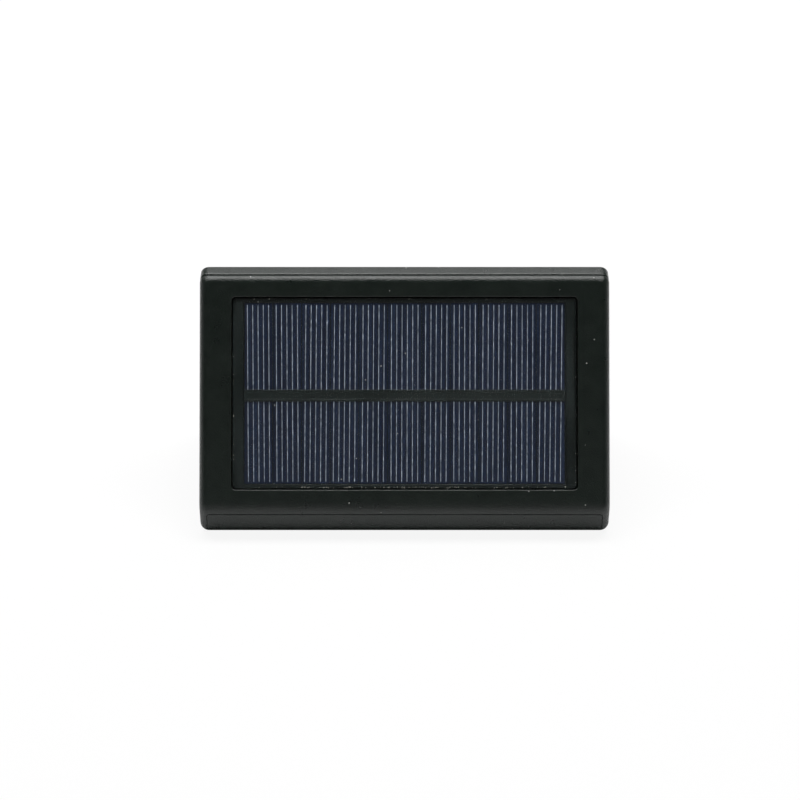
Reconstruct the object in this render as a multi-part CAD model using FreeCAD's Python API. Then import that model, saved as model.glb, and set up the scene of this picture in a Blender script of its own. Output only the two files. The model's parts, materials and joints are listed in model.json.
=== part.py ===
import FreeCAD
import Part
import math
import os

# A wedge-shaped solar fence light.
# The back face lies against the fence in the plane y = 0 and the light stands out towards -Y.
# +Z is up. The origin is the middle of the back face. All sizes are in millimetres.
# In this file d is the distance forward of the fence, so d = -y.

# ---- case ----
WIDTH = 120.0  # overall, side to side
TILT = 40.0  # the solar face leans back this far from upright, degrees
BACK_DEPTH = 4.0  # depth of the back cover's rim
TOP_FLAT = 0.3  # level stretch between the back cover and the top roll
TOP_ROLL = 3.0  # radius from the level top to the solar face
FACE_RUN = 63.8  # flat length of the solar face, down the slope
FRONT_ROLL = 6.0  # radius from the solar face to the upright front
STRIP_HEIGHT = 7.5  # upright front of the bezel, down to the base plane
FOOT_ROLL = 2.8  # radius under the bezel's front
SIDE_ROLL = 2.6  # radius along both ends
WALL = 2.2  # wall thickness of the case
SEAM = 0.15  # gap where two casings meet
OVERLAP = 0.1  # how far two shapes run into each other before they are fused
EDGE_ROUND = 0.3  # rounding of the case's edges along the parting line and round the pocket
COVER_ROUND = 1.0  # rounding of the back cover's front edge

# ---- bezel under the case ----
BEZEL_HALF = 57.7  # half its width, so the case's end walls show beside it
BEZEL_FOOT = 2.0  # its lower corner radius, seen from the front
BEZEL_SHOULDER = 0.8  # its upper corner radius, seen from the front
BEZEL_REAR = 10.15  # where it starts, forward of the fence
BEZEL_PLATE = 2.4  # thickness of its base
BEZEL_WALL = 1.7  # thickness of its side and rear walls
BEZEL_FRONT = 3.0  # thickness of its front wall under the seal
BEZEL_LIP = 1.2  # thickness of its front wall above the seal
SEAL_SEAT = 6.0  # height of the seal's seat above the base
SEAL_HEIGHT = 1.2  # height of the seal
LEDGE = 1.7  # height of the case's ledge above the seal

# ---- solar panel, set in a pocket of the face ----
POCKET_WIDTH = 101.0
POCKET_LENGTH = 56.3  # up the slope
LEAD_HOLE = 2.2  # radius of the hole the solar leads pass through
LEAD_X = 26.0  # its place across the pocket
LEAD_V = -8.0  # its place up the slope
POCKET_DEPTH = 2.4
POCKET_DROP = 0.3  # how far the pocket sits below the middle of the flat face
POCKET_CORNER = 1.3
PANEL_CORNER = 1.1  # corner radius of the panel parts lying in the pocket
POCKET_FLOOR = 1.6
PANEL_GAP = 0.4  # gap all round the panel
FOAM = 0.2  # foam tape under the board
BOARD_TOP = 0.6  # board's rim, below the face
CELL_SEAT = 1.0  # floor of the board's cell pocket, below the face
CELL_LENGTH = 52.6  # close to a third of a 156 mm wafer, which is 52.0
CELL_THICK = 0.2
CELL_PITCH = 8.37
CELL_WIDTH = 8.05
CELL_COUNT = 11
FINGER_PITCH = 1.55  # the middle strip is one conductor wider than the others
TAPE_HEIGHT = 3.5
TAPE_SHIFT = -0.7  # the tape's place up the slope from the middle of the cells
RIBBON_HEIGHT = 2.0

# ---- lamp, behind the bezel ----
LENS_WIDTH = 88.0
LENS_REAR = 22.0
LENS_FRONT = 41.0
LENS_FLANGE = 1.6
LENS_DOME = 1.0
LENS_RECESS = 0.4  # crown of the lens above the base plane
LENS_SEAL = 0.5
REFLECTOR_HEIGHT = 6.0
REFLECTOR_WALL = 1.0
REFLECTOR_OUTSIDE = (44.5, 41.5, 10.4, 7.5)  # half length and half width, at the mouth and crown
EAR_DROP = 1.1  # reflector's screw ears below its crown
LAMP_BOARD_LONG = 80.0
LAMP_BOARD_WIDE = 14.0
CHIP_LONG = 3.5
CHIP_WIDE = 2.8
CHIP_HIGH = 0.8
CHIP_GAP = 0.4  # room round a chip where it stands through the reflector
BEZEL_POST = 1.8  # screw posts of the bezel above its plate
LAMP_BOARD = 1.6
LAMP_COUNT = 6
LAMP_PITCH = 13.0

# ---- button under the case ----
BUTTON_X = 30.0
BUTTON_D = 15.8
BUTTON_RADIUS = 3.0
BUTTON_BORE = 3.08
SLEEVE_RADIUS = 4.0
BUTTON_RECESS = 0.3
BUTTON_FACE = 2.0
STEM_RADIUS = 2.0
STEM_GROOVE = 1.6
CLIP_RADIUS = 3.2
BUTTON_TRAVEL = 1.5
SEAL_RING = 0.8
BOOT_INNER = 2.2
BOOT_FOLD = 0.4
BOOT_THICK = 0.35
BOOT_FOLDS = 3

# ---- fixings ----
SCREW_SHANK = 1.25
SCREW_BORE = 1.3
SCREW_HOLE = SCREW_BORE + 0.2  # hole a screw passes through freely
POST_RADIUS = 2.6  # posts the screws bite into
SCREW_HEAD = 2.4
HEAD_HOLE = SCREW_HEAD + 0.3  # room round a screw head
HEAD_HEIGHT = 1.6
BOSS = 3.0
BEZEL_SCREW_X = 50.0
BEZEL_SCREW_D = (17.0, 41.0)
BACK_SCREW_X = 53.0
BACK_SCREW_Z = 16.0
SCREW_SINK = 2.0

# ---- keyholes in the back cover ----
KEYHOLE_X = 38.0
KEYHOLE_Z = 3.0
KEYHOLE_ENTRY = 4.5
KEYHOLE_SLOT = 2.3
KEYHOLE_RISE = 7.0
KEYHOLE_DEPTH = 5.0
KEYHOLE_SIDE = 1.3  # room beside the keyhole for the screw head
KEYHOLE_UNDER = 0.7  # room under it
KEYHOLE_WALL = 1.4
COVER_PLATE = 2.4

# ---- battery and control board ----
BATTERY_RADIUS = 7.0
BATTERY_LENGTH = 49.0
BATTERY_X = -43.0
BATTERY_D = 19.0
BATTERY_Z = -8.0
CRADLE_BACK = 10.4
CRADLE_FRONT = 20.0
BOARD_BACK = 10.4
BOARD_THICK = 1.6
WIRE_RADIUS = 0.6

# ---- worked out from the sizes above ----
SIN_TILT = math.sin(math.radians(TILT))
COS_TILT = math.cos(math.radians(TILT))
HEIGHT = STRIP_HEIGHT + FRONT_ROLL * SIN_TILT + FACE_RUN * COS_TILT + TOP_ROLL * (1 - SIN_TILT)
TOP = HEIGHT / 2
BASE = -HEIGHT / 2
ROLL_TOP_D = BACK_DEPTH + TOP_FLAT
FACE_TOP_D = ROLL_TOP_D + TOP_ROLL * COS_TILT
FACE_TOP_Z = TOP - TOP_ROLL * (1 - SIN_TILT)
FACE_FOOT_D = FACE_TOP_D + FACE_RUN * SIN_TILT
FACE_FOOT_Z = FACE_TOP_Z - FACE_RUN * COS_TILT
DEPTH = FACE_FOOT_D + FRONT_ROLL * (1 - COS_TILT)
SEAM_Z = BASE + STRIP_HEIGHT
FACE_MID = FACE_RUN / 2 - POCKET_DROP
FACE_MID_D = FACE_FOOT_D - FACE_MID * SIN_TILT
FACE_MID_Z = FACE_FOOT_Z + FACE_MID * COS_TILT
PLATE_TOP = BASE + BEZEL_PLATE
LENS_SEAT = PLATE_TOP + LENS_SEAL
REFLECTOR_FOOT = LENS_SEAT + LENS_FLANGE
REFLECTOR_TOP = REFLECTOR_FOOT + REFLECTOR_HEIGHT
LAMP_TOP = REFLECTOR_TOP + LAMP_BOARD
LENS_MID = (LENS_REAR + LENS_FRONT) / 2
BOARD_FRONT = BOARD_BACK + BOARD_THICK
SLEEVE_TOP = BASE + SEAL_SEAT - 0.2
BUTTON_SHOULDER = BASE + BUTTON_RECESS + BUTTON_FACE
STEM_TOP = SLEEVE_TOP + 1.9
OPEN_END = 5.0  # how far a cutting shape runs past what it cuts


def at(x, d, z):
    """A point d forward of the fence."""
    return FreeCAD.Vector(x, -d, z)


def block(x0, x1, d0, d1, z0, z1):
    """A box between two corners."""
    return Part.makeBox(x1 - x0, d1 - d0, z1 - z0, at(x0, d1, z0))


def rod(radius, start, end):
    """A round bar between two points."""
    along = end - start
    return Part.makeCylinder(radius, along.Length, start, along)


def rounded_box(x0, x1, d0, d1, z0, z1, radius):
    """A box whose four upright edges are rounded."""
    shape = block(x0, x1, d0, d1, z0, z1)
    upright = [e for e in shape.Edges if abs(e.tangentAt(e.FirstParameter).z) > 0.9]
    return shape.makeFillet(radius, upright)


def slope_box(width, v0, v1, w0, w1, corner=0.0, x=0.0):
    """A box on the solar face: v runs up the slope and w out of it, from the pocket's middle."""
    shape = Part.makeBox(width, v1 - v0, w1 - w0, FreeCAD.Vector(x - width / 2, v0, w0))
    if corner:
        upright = [e for e in shape.Edges if abs(e.tangentAt(e.FirstParameter).z) > 0.9]
        shape = shape.makeFillet(corner, upright)
    return on_slope(shape)


def on_slope(shape):
    """Lays a shape made flat at the origin on the solar face."""
    turn = FreeCAD.Rotation(FreeCAD.Vector(1, 0, 0), 90 - TILT)
    shape.Placement = FreeCAD.Placement(at(0, FACE_MID_D, FACE_MID_Z), turn)
    return shape


def polar(centre_d, centre_z, radius, angle):
    """A point on a circle in the side view, angle in degrees up from straight ahead."""
    turn = math.radians(angle)
    return at(0, centre_d + radius * math.cos(turn), centre_z + radius * math.sin(turn))


def side_outline(inset, rear):
    """The case seen from the side, as a closed wire, drawn in by inset, from rear forward."""
    top = at(0, rear, TOP - inset)
    top_centre = (ROLL_TOP_D, TOP - TOP_ROLL)
    front_centre = (DEPTH - FRONT_ROLL, SEAM_Z)
    foot_centre = (DEPTH - FOOT_ROLL, BASE + FOOT_ROLL)
    half_turn = (90 + TILT) / 2
    top_points = [polar(*top_centre, TOP_ROLL - inset, a) for a in (90, half_turn, TILT)]
    front_points = [polar(*front_centre, FRONT_ROLL - inset, a) for a in (TILT, TILT / 2, 0)]
    foot_points = [polar(*foot_centre, FOOT_ROLL - inset, a) for a in (0, -45, -90)]
    base = at(0, rear, BASE + inset)
    edges = [
        Part.LineSegment(top, top_points[0]).toShape(),
        Part.Arc(*top_points).toShape(),
        Part.LineSegment(top_points[2], front_points[0]).toShape(),
        Part.Arc(*front_points).toShape(),
        Part.LineSegment(front_points[2], foot_points[0]).toShape(),
        Part.Arc(*foot_points).toShape(),
        Part.LineSegment(foot_points[2], base).toShape(),
        Part.LineSegment(base, top).toShape(),
    ]
    return Part.Wire(edges)


def case_prism(inset, rear):
    """The case's side outline, drawn in by inset and run from end to end, as a solid."""
    half = WIDTH / 2 - inset
    outline = side_outline(inset, rear)
    outline.translate(FreeCAD.Vector(-half, 0, 0))
    return Part.Face(outline).extrude(FreeCAD.Vector(2 * half, 0, 0))


def envelope():
    """The whole light's outer shape, with both ends rounded over."""
    shape = case_prism(0, 0)
    ends = []
    for edge in shape.Edges:
        box = edge.BoundBox
        at_end = abs(abs(edge.CenterOfMass.x) - WIDTH / 2) < 1e-6 and box.XLength < 1e-6
        on_back = box.YMin > -1e-6
        if at_end and not on_back:
            ends.append(edge)
    return shape.makeFillet(SIDE_ROLL, ends)


def front_view_prism(grow, rear):
    """The bezel's outline seen from the front, grown by grow, run forward from rear."""
    half = BEZEL_HALF + grow
    low = BASE - grow
    high = SEAM_Z + grow
    shape = block(-half, half, rear, DEPTH + OPEN_END, low, high)
    feet = [e for e in edges_along_depth(shape) if e.CenterOfMass.z < (low + high) / 2]
    shape = shape.makeFillet(BEZEL_FOOT + grow, feet)
    shoulders = [e for e in edges_along_depth(shape) if abs(e.CenterOfMass.z - high) < 1e-6]
    return shape.makeFillet(BEZEL_SHOULDER + grow, shoulders)


def edges_along_depth(shape):
    """Every edge that runs straight from back to front."""
    return [e for e in shape.Edges if abs(e.tangentAt(e.FirstParameter).y) > 0.9]


def pair(x):
    """The same place on both sides of the middle."""
    return (-x, x)


def screw(head_middle, direction, length):
    """A pan head screw with a cross recess; head_middle is the top of its head."""
    head_seat = head_middle + direction * HEAD_HEIGHT
    shape = rod(SCREW_HEAD, head_middle, head_seat)
    rim = [e for e in shape.Edges if (e.CenterOfMass - head_middle).Length < 0.01]
    shape = shape.makeFillet(HEAD_HEIGHT * 0.4, rim)
    shape = shape.fuse(rod(SCREW_SHANK, head_seat, head_seat + direction * length))
    recess = Part.makeBox(2.6, 0.6, 1.0, FreeCAD.Vector(-1.3, -0.3, 0))
    recess = recess.fuse(Part.makeBox(0.6, 2.6, 1.0, FreeCAD.Vector(-0.3, -1.3, 0)))
    turn = FreeCAD.Rotation(FreeCAD.Vector(0, 0, 1), direction)
    recess.Placement = FreeCAD.Placement(head_middle, turn)
    return shape.cut(recess)


def front_case(body):
    """Casing with the solar pocket, end walls, screw bosses and the ledge that the bezel seals on."""
    parting = BACK_DEPTH + SEAM
    case = body.cut(block(-WIDTH, WIDTH, -OPEN_END, parting, BASE - 1, TOP + 1))
    case = round_parting(case, parting, EDGE_ROUND)
    case = case.cut(case_prism(WALL, 0))
    case = case.cut(front_view_prism(SEAM, BEZEL_REAR - SEAM))
    inside = case_prism(WALL - OVERLAP, 0)
    tray = slope_box(
        POCKET_WIDTH + 2 * POCKET_FLOOR,
        -POCKET_LENGTH / 2 - POCKET_FLOOR,
        POCKET_LENGTH / 2 + POCKET_FLOOR,
        -POCKET_DEPTH - POCKET_FLOOR,
        -WALL + OVERLAP,
    )
    extras = [tray.common(inside)]
    extras += [case_ledge(), case_rail(inside)]
    extras += case_bosses(inside)
    case = case.fuse(extras).removeSplitter()
    pocket = slope_box(
        POCKET_WIDTH, -POCKET_LENGTH / 2, POCKET_LENGTH / 2, -POCKET_DEPTH, 1, POCKET_CORNER
    )
    lead_hole = on_slope(Part.makeCylinder(LEAD_HOLE, 4, FreeCAD.Vector(LEAD_X, LEAD_V, -POCKET_DEPTH - 3)))
    seal_seat = case_prism(1.1, 0).common(block(-WIDTH / 2, WIDTH / 2, 0, parting + 1.2, BASE, TOP))
    seal_seat = seal_seat.cut(case_prism(WALL, -1))
    case = case.cut([pocket, lead_hole, seal_seat] + case_bores()).removeSplitter()
    return round_pocket(case)


def round_parting(shape, depth, radius):
    """Rounds the outer edge all round a parting plane."""
    rim = [e for e in shape.Edges if max(abs(v.Y + depth) for v in e.Vertexes) < 1e-6]
    return shape.makeFillet(radius, rim)


def round_pocket(case):
    """Rounds the edge where the solar face drops into the pocket."""
    outward = FreeCAD.Vector(0, -COS_TILT, SIN_TILT)
    middle = at(0, FACE_MID_D, FACE_MID_Z)
    rim = []
    for edge in case.Edges:
        on_face = max(abs((v.Point - middle).dot(outward)) for v in edge.Vertexes) < 1e-5
        in_pocket = max(abs(v.X) for v in edge.Vertexes) < POCKET_WIDTH / 2 + 0.001
        if on_face and in_pocket:
            rim.append(edge)
    return case.makeFillet(EDGE_ROUND, rim)


def case_ledge():
    """A ring inside the case, above the bezel's seal."""
    low = BASE + SEAL_SEAT + SEAL_HEIGHT
    half = WIDTH / 2 - WALL + OVERLAP
    outer = block(-half, half, BEZEL_REAR - 0.3, DEPTH - BEZEL_LIP - SEAM, low, low + LEDGE)
    inner = block(-half + 2, half - 2, BEZEL_REAR + 2, DEPTH - BEZEL_FRONT - 0.1, low - 1, low + 5)
    return outer.cut(inner)


def case_rail(inside):
    """The upright wall behind the bezel, which closes the case's rear rim."""
    front = BEZEL_REAR - SEAM
    rail = block(-59, 59, front - 1.6, front, BASE + 1, BASE + SEAL_SEAT + SEAL_HEIGHT + LEDGE)
    return rail.common(inside)


def case_bosses(inside):
    """Posts that take the back cover's screws and the bezel's screws, tied to the end walls."""
    posts = []
    for x in pair(BEZEL_SCREW_X):
        for d in BEZEL_SCREW_D:
            foot = PLATE_TOP + BEZEL_POST + OVERLAP
            roof = -18.0 if d < DEPTH / 2 else 5.0
            posts.append(rod(BOSS, at(x, d, foot), at(x, d, roof)))
            posts.append(web(x, d - 1.0, d + 1.0, foot + 4.6, roof))
    for x in pair(BACK_SCREW_X):
        for z in pair(BACK_SCREW_Z):
            depth = 13.4 if z < 0 else 22.0
            posts.append(rod(BOSS, at(x, BACK_DEPTH + SEAM, z), at(x, depth, z)))
            posts.append(web(x, BACK_DEPTH + 2.5, min(depth, 13.0), z - 0.7, z + 0.7))
    return [post.common(inside) for post in posts]


def web(x, d0, d1, z0, z1):
    """A thin rib from a post to the end wall beside it."""
    wall = math.copysign(WIDTH / 2 - WALL + OVERLAP, x)
    return block(min(x, wall), max(x, wall), d0, d1, z0, z1)


def case_bores():
    """Screw holes in the posts."""
    bores = []
    for x in pair(BEZEL_SCREW_X):
        for d in BEZEL_SCREW_D:
            foot = PLATE_TOP + BEZEL_POST + OVERLAP
            bores.append(rod(SCREW_BORE, at(x, d, foot - 1), at(x, d, foot + 6.5)))
    for x in pair(BACK_SCREW_X):
        for z in pair(BACK_SCREW_Z):
            bores.append(rod(SCREW_BORE, at(x, 0, z), at(x, 11.5, z)))
    return bores


def back_cover(body):
    """Flat cover against the fence: rim, tongue, keyhole pockets, screw pads and board posts."""
    cover = body.common(block(-WIDTH, WIDTH, -1, BACK_DEPTH, BASE - 1, TOP + 1))
    cover = round_parting(cover, BACK_DEPTH, COVER_ROUND)
    cover = cover.cut(case_prism(WALL, -1).common(block(-WIDTH / 2, WIDTH / 2, COVER_PLATE, 9, BASE, TOP)))
    half = WIDTH / 2 - WALL - 1.6
    room = block(-half, half, -1, 20, BASE + WALL + 1.6, TOP - WALL - 2.4)
    tongue = case_prism(WALL + 0.3, 0).cut(room)
    reach = BACK_DEPTH + 1.4
    extras = [tongue.common(block(-WIDTH / 2, WIDTH / 2, COVER_PLATE - OVERLAP, reach, BASE, TOP))]
    holes = []
    for x in pair(KEYHOLE_X):
        extras.append(keyhole_box(x))
        holes.append(keyhole_room(x))
    for x in pair(BACK_SCREW_X):
        for z in pair(BACK_SCREW_Z):
            extras.append(rod(4.0, at(x, 1, z), at(x, BACK_DEPTH, z)))
            holes.append(rod(HEAD_HOLE, at(x, -1, z), at(x, SCREW_SINK, z)))
            holes.append(rod(SCREW_HOLE, at(x, 0, z), at(x, 8, z)))
    for x, z in CRADLE_POSTS + BOARD_POSTS:
        extras.append(rod(POST_RADIUS, at(x, 1, z), at(x, CRADLE_BACK, z)))
        holes.append(rod(SCREW_BORE, at(x, 4, z), at(x, CRADLE_BACK + 1, z)))
    return cover.fuse(extras).cut(holes).removeSplitter()


def keyhole_box(x):
    """The closed pocket behind one keyhole, from the outside."""
    half = KEYHOLE_ENTRY + KEYHOLE_SIDE + KEYHOLE_WALL
    low = KEYHOLE_Z - KEYHOLE_ENTRY - KEYHOLE_UNDER - KEYHOLE_WALL
    high = KEYHOLE_Z + KEYHOLE_RISE + KEYHOLE_ENTRY + KEYHOLE_WALL
    back = COVER_PLATE + KEYHOLE_DEPTH + KEYHOLE_WALL
    return block(x - half, x + half, COVER_PLATE - 0.5, back, low, high)


def keyhole_room(x):
    """The space one screw head and shank need in the back cover."""
    half = KEYHOLE_ENTRY + KEYHOLE_SIDE
    low = KEYHOLE_Z - KEYHOLE_ENTRY - KEYHOLE_UNDER
    high = KEYHOLE_Z + KEYHOLE_RISE + KEYHOLE_ENTRY
    room = block(x - half, x + half, COVER_PLATE, COVER_PLATE + KEYHOLE_DEPTH, low, high)
    entry = rod(KEYHOLE_ENTRY, at(x, -1, KEYHOLE_Z), at(x, COVER_PLATE + 1, KEYHOLE_Z))
    slot_end = KEYHOLE_Z + KEYHOLE_RISE
    slot = block(x - KEYHOLE_SLOT, x + KEYHOLE_SLOT, -1, COVER_PLATE + 1, KEYHOLE_Z, slot_end)
    rest = rod(KEYHOLE_SLOT, at(x, -1, slot_end), at(x, COVER_PLATE + 1, slot_end))
    return room.fuse([entry, slot, rest])


def back_seal():
    """Silicone cord between the case and the back cover."""
    ring = case_prism(1.15, 0).cut(case_prism(WALL - 0.05, -1))
    return ring.common(block(-WIDTH / 2, WIDTH / 2, BACK_DEPTH, BACK_DEPTH + 1.3, BASE, TOP))


def lens_bezel(body):
    """The lamp's frame: base plate with the lens window, walls, screw pads and the button's sleeve."""
    outer = body.common(front_view_prism(0, BEZEL_REAR))
    inner_half = BEZEL_HALF - BEZEL_WALL
    inner_rear = BEZEL_REAR + BEZEL_WALL
    hollow = block(
        -inner_half, inner_half, inner_rear, DEPTH - BEZEL_FRONT, PLATE_TOP, SEAM_Z + 1
    )
    seat = block(
        -WIDTH, WIDTH, BEZEL_REAR - 1, DEPTH - BEZEL_LIP, BASE + SEAL_SEAT, SEAM_Z + 1
    )
    bezel = outer.cut([hollow, seat])
    extras = []
    holes = [lens_window()]
    for x in pair(BEZEL_SCREW_X):
        for d in BEZEL_SCREW_D:
            extras.append(rod(3.6, at(x, d, BASE + 1), at(x, d, PLATE_TOP + BEZEL_POST)))
            holes.append(rod(HEAD_HOLE, at(x, d, BASE - 1), at(x, d, BASE + SCREW_SINK)))
            holes.append(rod(SCREW_HOLE, at(x, d, BASE), at(x, d, PLATE_TOP + 3)))
        extras.append(rod(POST_RADIUS, at(x, LENS_MID, BASE + 1), at(x, LENS_MID, REFLECTOR_TOP - 2.6)))
        holes.append(rod(SCREW_BORE, at(x, LENS_MID, BASE + 2.4), at(x, LENS_MID, REFLECTOR_TOP)))
    extras.append(button_disc(SLEEVE_RADIUS, BASE + 1, SLEEVE_TOP))
    holes.append(button_disc(BUTTON_BORE, BASE - 1, SLEEVE_TOP + 1))
    rim = at(BUTTON_X, BUTTON_D, BASE - 0.001)
    dish = Part.makeCone(BUTTON_BORE + 0.9, BUTTON_BORE, 0.5, rim, FreeCAD.Vector(0, 0, 1))
    return bezel.fuse(extras).cut(holes + [dish]).removeSplitter()


def lens_window():
    """The opening that the lens looks through, flared a little towards the base."""
    half = LENS_WIDTH / 2
    window = rounded_box(-half, half, LENS_REAR, LENS_FRONT, BASE - 1, PLATE_TOP + 1, 2.0)
    flare = rounded_box(
        -half - 0.5, half + 0.5, LENS_REAR - 0.5, LENS_FRONT + 0.5, BASE - 1, BASE + 0.5, 2.5
    )
    return window.fuse(flare)


def bezel_seal():
    """Silicone frame between the bezel's walls and the case's ledge."""
    low = BASE + SEAL_SEAT
    half = BEZEL_HALF - 0.2
    outer = block(-half, half, BEZEL_REAR + 0.1, DEPTH - BEZEL_LIP - 0.2, low, low + SEAL_HEIGHT)
    inner = block(
        -half + 1.3, half - 1.3, BEZEL_REAR + 1.5, DEPTH - BEZEL_FRONT + 0.1, low - 1, low + 5
    )
    return outer.cut(inner)


def diffuser_lens():
    """Frosted lens: a flange on its seal and a crowned panel in the window."""
    half = LENS_WIDTH / 2
    flange = rounded_box(
        -half - 2, half + 2, LENS_REAR - 1.6, LENS_FRONT + 1.6, LENS_SEAT, REFLECTOR_FOOT, 2.0
    )
    crown = BASE + LENS_RECESS
    rear = LENS_REAR + SEAM
    front = LENS_FRONT - SEAM
    panel = rounded_box(-half + SEAM, half - SEAM, rear, front, crown, LENS_SEAT + 0.2, 1.9)
    span = (LENS_FRONT - LENS_REAR) / 2
    radius = (span * span + LENS_DOME * LENS_DOME) / (2 * LENS_DOME)
    drum = rod(radius, at(-half, LENS_MID, crown + radius), at(half, LENS_MID, crown + radius))
    return flange.fuse(panel.common(drum)).removeSplitter()


def lens_seal():
    """Thin gasket under the lens flange."""
    half = LENS_WIDTH / 2
    outer = rounded_box(
        -half - 2, half + 2, LENS_REAR - 1.6, LENS_FRONT + 1.6, PLATE_TOP, LENS_SEAT, 2.0
    )
    inner = rounded_box(
        -half - 0.3, half + 0.3, LENS_REAR - 0.3, LENS_FRONT + 0.3, PLATE_TOP - 1, LENS_SEAT + 1, 1.2
    )
    return outer.cut(inner)


def slanted_tray(half_low, half_high, d_low, d_high, low, high):
    """A four-sided funnel shape, wider at its foot, as a solid."""
    rings = []
    for half, span, z in ((half_low, d_low, low), (half_high, d_high, high)):
        corners = [
            at(-half, LENS_MID - span, z),
            at(half, LENS_MID - span, z),
            at(half, LENS_MID + span, z),
            at(-half, LENS_MID + span, z),
        ]
        rings.append(Part.makePolygon(corners + [corners[0]]))
    return Part.makeLoft(rings, True, True)


def reflector_tray():
    """White tray that throws the lamp light down through the lens, with an ear at each end."""
    low = REFLECTOR_FOOT
    high = REFLECTOR_TOP
    tray = slanted_tray(*REFLECTOR_OUTSIDE, low, high)
    ear_top = high - EAR_DROP
    for x in pair(BEZEL_SCREW_X):
        ear = block(min(x, 0), max(x, 0), LENS_MID - 2.6, LENS_MID + 2.6, ear_top - 1.5, ear_top)
        tray = tray.fuse([ear, rod(POST_RADIUS, at(x, LENS_MID, ear_top - 1.5), at(x, LENS_MID, ear_top))])
    inside = [size - REFLECTOR_WALL for size in REFLECTOR_OUTSIDE]
    room = slanted_tray(*inside, low - 0.001, high - REFLECTOR_WALL)
    holes = [room]
    for x in lamp_places():
        holes.append(chip_block(x, CHIP_GAP, high - 2, high + 1))
    for x in pair(BEZEL_SCREW_X):
        holes.append(rod(SCREW_HOLE, at(x, LENS_MID, low), at(x, LENS_MID, high)))
    return tray.cut(holes).removeSplitter()


def lamp_places():
    """Where the lamp chips sit, from side to side."""
    first = -LAMP_PITCH * (LAMP_COUNT - 1) / 2
    return [first + LAMP_PITCH * i for i in range(LAMP_COUNT)]


def chip_block(x, gap, low, high):
    """Block round one lamp chip with a gap on every side."""
    long = CHIP_LONG / 2 + gap
    wide = CHIP_WIDE / 2 + gap
    return block(x - long, x + long, LENS_MID - wide, LENS_MID + wide, low, high)


def lamp_board():
    """Strip of circuit board on the reflector's back."""
    low_d = LENS_MID - LAMP_BOARD_WIDE / 2
    high_d = LENS_MID + LAMP_BOARD_WIDE / 2
    return block(-LAMP_BOARD_LONG / 2, LAMP_BOARD_LONG / 2, low_d, high_d, REFLECTOR_TOP, LAMP_TOP)


def lamp_chips():
    """Surface-mounted lamp chips, facing down."""
    chips = []
    face = REFLECTOR_TOP - CHIP_HIGH
    for x in lamp_places():
        chip = chip_block(x, 0, face, REFLECTOR_TOP)
        dimple = Part.makeCone(1.1, 0.8, 0.3, at(x, LENS_MID, face), FreeCAD.Vector(0, 0, 1))
        chips.append(chip.cut(dimple))
    return Part.makeCompound(chips)


def panel_foam():
    """Foam tape that holds the panel in its pocket."""
    wide = POCKET_WIDTH - 2 * PANEL_GAP
    tall = POCKET_LENGTH - 2 * PANEL_GAP
    outer = slope_box(wide, -tall / 2, tall / 2, -POCKET_DEPTH, -POCKET_DEPTH + FOAM)
    inner = slope_box(wide - 12, -tall / 2 + 6, tall / 2 - 6, -POCKET_DEPTH - 1, 1)
    return outer.cut(inner)


def panel_board():
    """Backing board with a shallow pocket for the cells."""
    wide = POCKET_WIDTH - 2 * PANEL_GAP
    tall = POCKET_LENGTH - 2 * PANEL_GAP
    board = slope_box(wide, -tall / 2, tall / 2, -POCKET_DEPTH + FOAM, -BOARD_TOP, PANEL_CORNER)
    half_cells = CELL_LENGTH / 2 + 0.3
    pocket = slope_box(cells_width() + 0.8, -half_cells, half_cells, -CELL_SEAT, 0)
    return board.cut(pocket)


def cell_strips():
    """Middle and width of each cell strip, from left to right."""
    wide = CELL_WIDTH + FINGER_PITCH
    step = CELL_PITCH + FINGER_PITCH / 2
    middle = CELL_COUNT // 2
    strips = []
    for i in range(CELL_COUNT):
        place = i - middle
        if place == 0:
            strips.append((0.0, wide))
            continue
        reach = step + CELL_PITCH * (abs(place) - 1)
        strips.append((math.copysign(reach, place), CELL_WIDTH))
    return strips


def cells_width():
    """Overall width of the row of cell strips."""
    x, width = cell_strips()[-1]
    return 2 * x + width


def solar_cells():
    """Narrow silicon strips side by side."""
    half = CELL_LENGTH / 2
    cells = [
        slope_box(width, -half, half, -CELL_SEAT, -CELL_SEAT + CELL_THICK, x=x)
        for x, width in cell_strips()
    ]
    return Part.makeCompound(cells)


def busbar_ribbon():
    """Tinned ribbon that joins the strips, under the tape."""
    low = TAPE_SHIFT - RIBBON_HEIGHT / 2
    top = -CELL_SEAT + CELL_THICK
    return slope_box(cells_width() - 1, low, low + RIBBON_HEIGHT, top, top + 0.1)


def busbar_tape():
    """Black tape over the ribbon."""
    low = TAPE_SHIFT - TAPE_HEIGHT / 2
    top = -CELL_SEAT + CELL_THICK
    tape = slope_box(cells_width() + 0.4, low, low + TAPE_HEIGHT, top, top + 0.17)
    ribbon_low = TAPE_SHIFT - RIBBON_HEIGHT / 2
    ribbon = slope_box(cells_width() - 1, ribbon_low, ribbon_low + RIBBON_HEIGHT, top - 1, top + 0.1)
    return tape.cut(ribbon)


def panel_film():
    """Clear sheet over the whole panel."""
    wide = POCKET_WIDTH - 2 * PANEL_GAP
    tall = POCKET_LENGTH - 2 * PANEL_GAP
    return slope_box(wide, -tall / 2, tall / 2, -BOARD_TOP, -0.1, PANEL_CORNER)


def battery():
    """Round cell with its raised positive end."""
    end = BATTERY_X + BATTERY_LENGTH
    can = rod(BATTERY_RADIUS, at(BATTERY_X, BATTERY_D, BATTERY_Z), at(end, BATTERY_D, BATTERY_Z))
    rims = [e for e in can.Edges if len(e.Vertexes) == 1]
    can = can.makeFillet(0.5, rims)
    nub = rod(2.6, at(end - 0.1, BATTERY_D, BATTERY_Z), at(end + 1.0, BATTERY_D, BATTERY_Z))
    return can.fuse(nub)


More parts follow.
